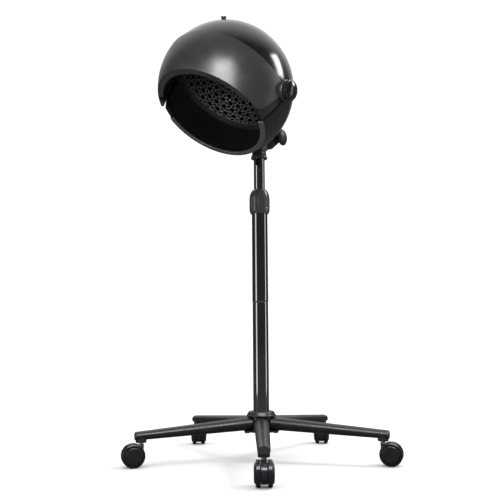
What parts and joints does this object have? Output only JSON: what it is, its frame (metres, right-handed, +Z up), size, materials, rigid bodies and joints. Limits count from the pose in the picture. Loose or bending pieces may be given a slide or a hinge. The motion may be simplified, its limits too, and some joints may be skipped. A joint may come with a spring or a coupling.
{
  "type": "hood hair dryer",
  "caption": "Ball-shaped hood hair dryer with a flip-up visor on a tilting bracket, a telescopic pole and a five-star base with twin-wheel casters.",
  "frame": {"origin": "on the floor at the pole's axis", "axes": "+Z up along the pole; one leg points along -Y, the side the hood's opening broadly faces; +X to the right of someone facing that side"},
  "size_m": [0.6908, 0.6566, 1.1148],
  "materials": {
    "black_gloss_metal": "deep gloss black",
    "black_gloss_plastic": "high gloss black",
    "black_matte_plastic": "fine matte black",
    "black_satin_metal": "satin black powder coat",
    "bright_steel": "bright zinc plated",
    "caster_plastic": "polished black nylon",
    "chrome": "polished",
    "dark_satin_plastic": "satin dark grey",
    "fibre": "pressed fibre friction lining",
    "grey_plastic": "satin mid grey",
    "mica": "mica board",
    "motor_steel": "plain sheet steel",
    "resistance_wire": "heat-darkened wire",
    "wheel_plastic": "polished black nylon tread",
    "white_nylon": "smooth nylon"
  },
  "bodies": {
    "base": {"hub": "black_satin_metal", "leg_front": "black_satin_metal", "leg_right": "black_satin_metal", "leg_back_right": "black_satin_metal", "leg_back_left": "black_satin_metal", "leg_left": "black_satin_metal", "leg_end_caps": "black_matte_plastic", "leg_bolts": "bright_steel", "hub_cover": "dark_satin_plastic", "lower_tube": "black_gloss_metal", "tube_coupler": "bright_steel", "upper_tube": "black_gloss_metal", "guide_bush": "white_nylon"},
    "lock_collar": {"lock_collar": "grey_plastic"},
    "mast": {"inner_tube": "black_gloss_metal", "tube_glide": "white_nylon", "swivel_bush": "white_nylon"},
    "arm": {"swivel_head": "dark_satin_plastic", "swivel_pin": "bright_steel", "tilt_bolt": "bright_steel"},
    "tilt_knob": {"tilt_knob": "black_matte_plastic"},
    "bracket": {"bracket": "black_satin_metal"},
    "hood": {"friction_disc": "fibre", "mount_bolt": "bright_steel", "outer_shell": "black_gloss_plastic", "rim_trim": "dark_satin_plastic", "liner": "black_matte_plastic", "inner_shell": "black_matte_plastic", "visor_stop": "black_matte_plastic", "rear_housing": "black_gloss_plastic", "motor_mount": "motor_steel", "fan_motor": "motor_steel", "heater_frame": "mica", "heater_coil": "resistance_wire", "thermostat": "bright_steel", "control_panel": "black_matte_plastic", "housing_screws": "bright_steel", "cord_gland": "black_matte_plastic", "pivot_bolts": "bright_steel"},
    "impeller": {"impeller": "dark_satin_plastic"},
    "visor": {"visor": "black_gloss_plastic"},
    "pivot_knob_right": {"pivot_knob_right": "black_gloss_plastic"},
    "pivot_knob_left": {"pivot_knob_left": "black_gloss_plastic"},
    "timer_knob": {"timer_knob": "grey_plastic"},
    "heat_knob": {"heat_knob": "grey_plastic"},
    "caster_front": {"caster_stem_front": "chrome", "caster_body_front": "caster_plastic"},
    "wheels_front": {"caster_wheels_front": "wheel_plastic"},
    "caster_right": {"caster_stem_right": "chrome", "caster_body_right": "caster_plastic"},
    "wheels_right": {"caster_wheels_right": "wheel_plastic"},
    "caster_back_right": {"caster_stem_back_right": "chrome", "caster_body_back_right": "caster_plastic"},
    "wheels_back_right": {"caster_wheels_back_right": "wheel_plastic"},
    "caster_back_left": {"caster_stem_back_left": "chrome", "caster_body_back_left": "caster_plastic"},
    "wheels_back_left": {"caster_wheels_back_left": "wheel_plastic"},
    "caster_left": {"caster_stem_left": "chrome", "caster_body_left": "caster_plastic"},
    "wheels_left": {"caster_wheels_left": "wheel_plastic"}
  },
  "joints": [
    {"name": "collar_turn", "type": "hinge", "parent": "base", "child": "lock_collar", "pos_m": [0, 0, 0.676], "axis": [0, 0, 1], "range_deg": [0, 90]},
    {"name": "height_slide", "type": "slide", "parent": "base", "child": "mast", "axis": [0, 0, 1], "range_m": [0, 0.3]},
    {"name": "hood_swivel", "type": "hinge", "parent": "mast", "child": "arm", "pos_m": [0, 0, 0.8], "axis": [0, 0, 1], "range_deg": [-170, 170]},
    {"name": "hood_tilt", "type": "hinge", "parent": "arm", "child": "bracket", "pos_m": [0.02664, 0.04231, 0.864], "axis": [0.8462, -0.5329, 0], "range_deg": [-30, 3]},
    {"name": "tilt_knob_turn", "type": "hinge", "parent": "arm", "child": "tilt_knob", "pos_m": [0.0698, 0.01513, 0.864], "axis": [0.8462, -0.5329, 0], "range_deg": [0, 360]},
    {"name": "hood_roll", "type": "hinge", "parent": "bracket", "child": "hood", "pos_m": [0.02536, 0.04028, 0.9423], "axis": [0.5329, 0.8462, 0], "range_deg": [-32, 7]},
    {"name": "fan_spin", "type": "hinge", "parent": "hood", "child": "impeller", "pos_m": [-0.03115, -0.0941, 1.04868], "axis": [0.4218, 0.3127, 0.8511], "continuous": true},
    {"name": "visor_flip", "type": "hinge", "parent": "hood", "child": "visor", "pos_m": [-0.08388, -0.13319, 0.9423], "axis": [-0.8258, 0.52, 0.2181], "range_deg": [0, 31]},
    {"name": "pivot_knob_right_turn", "type": "hinge", "parent": "hood", "child": "pivot_knob_right", "pos_m": [0.07303, -0.232, 0.90085], "axis": [0.8258, -0.52, -0.2181], "range_deg": [0, 360]},
    {"name": "pivot_knob_left_turn", "type": "hinge", "parent": "hood", "child": "pivot_knob_left", "pos_m": [-0.24078, -0.03438, 0.98375], "axis": [-0.8258, 0.52, 0.2181], "range_deg": [0, 360]},
    {"name": "timer_turn", "type": "hinge", "parent": "hood", "child": "timer_knob", "pos_m": [0.00937, 0.0083, 1.05425], "axis": [-0.5474, -0.6464, -0.5315], "range_deg": [0, 300]},
    {"name": "heat_turn", "type": "hinge", "parent": "hood", "child": "heat_knob", "pos_m": [0.0457, -0.01459, 1.04465], "axis": [-0.5474, -0.6464, -0.5315], "range_deg": [0, 270]},
    {"name": "caster_swivel_front", "type": "hinge", "parent": "base", "child": "caster_front", "pos_m": [0, -0.311, 0.057], "axis": [0, 0, 1], "continuous": true},
    {"name": "wheel_spin_front", "type": "hinge", "parent": "caster_front", "child": "wheels_front", "pos_m": [0, -0.33, 0.028], "axis": [1, 0, 0], "continuous": true},
    {"name": "caster_swivel_right", "type": "hinge", "parent": "base", "child": "caster_right", "pos_m": [0.29578, -0.0961, 0.057], "axis": [0, 0, 1], "continuous": true},
    {"name": "wheel_spin_right", "type": "hinge", "parent": "caster_right", "child": "wheels_right", "pos_m": [0.31385, -0.10198, 0.028], "axis": [0.309, 0.9511, 0], "continuous": true},
    {"name": "caster_swivel_back_right", "type": "hinge", "parent": "base", "child": "caster_back_right", "pos_m": [0.1828, 0.2516, 0.057], "axis": [0, 0, 1], "continuous": true},
    {"name": "wheel_spin_back_right", "type": "hinge", "parent": "caster_back_right", "child": "wheels_back_right", "pos_m": [0.1828, 0.2706, 0.028], "axis": [-1, 0, 0], "continuous": true},
    {"name": "caster_swivel_back_left", "type": "hinge", "parent": "base", "child": "caster_back_left", "pos_m": [-0.1828, 0.2516, 0.057], "axis": [0, 0, 1], "continuous": true},
    {"name": "wheel_spin_back_left", "type": "hinge", "parent": "caster_back_left", "child": "wheels_back_left", "pos_m": [-0.1828, 0.2706, 0.028], "axis": [-1, 0, 0], "continuous": true},
    {"name": "caster_swivel_left", "type": "hinge", "parent": "base", "child": "caster_left", "pos_m": [-0.29578, -0.0961, 0.057], "axis": [0, 0, 1], "continuous": true},
    {"name": "wheel_spin_left", "type": "hinge", "parent": "caster_left", "child": "wheels_left", "pos_m": [-0.31385, -0.10198, 0.028], "axis": [0.309, -0.9511, 0], "continuous": true}
  ]
}
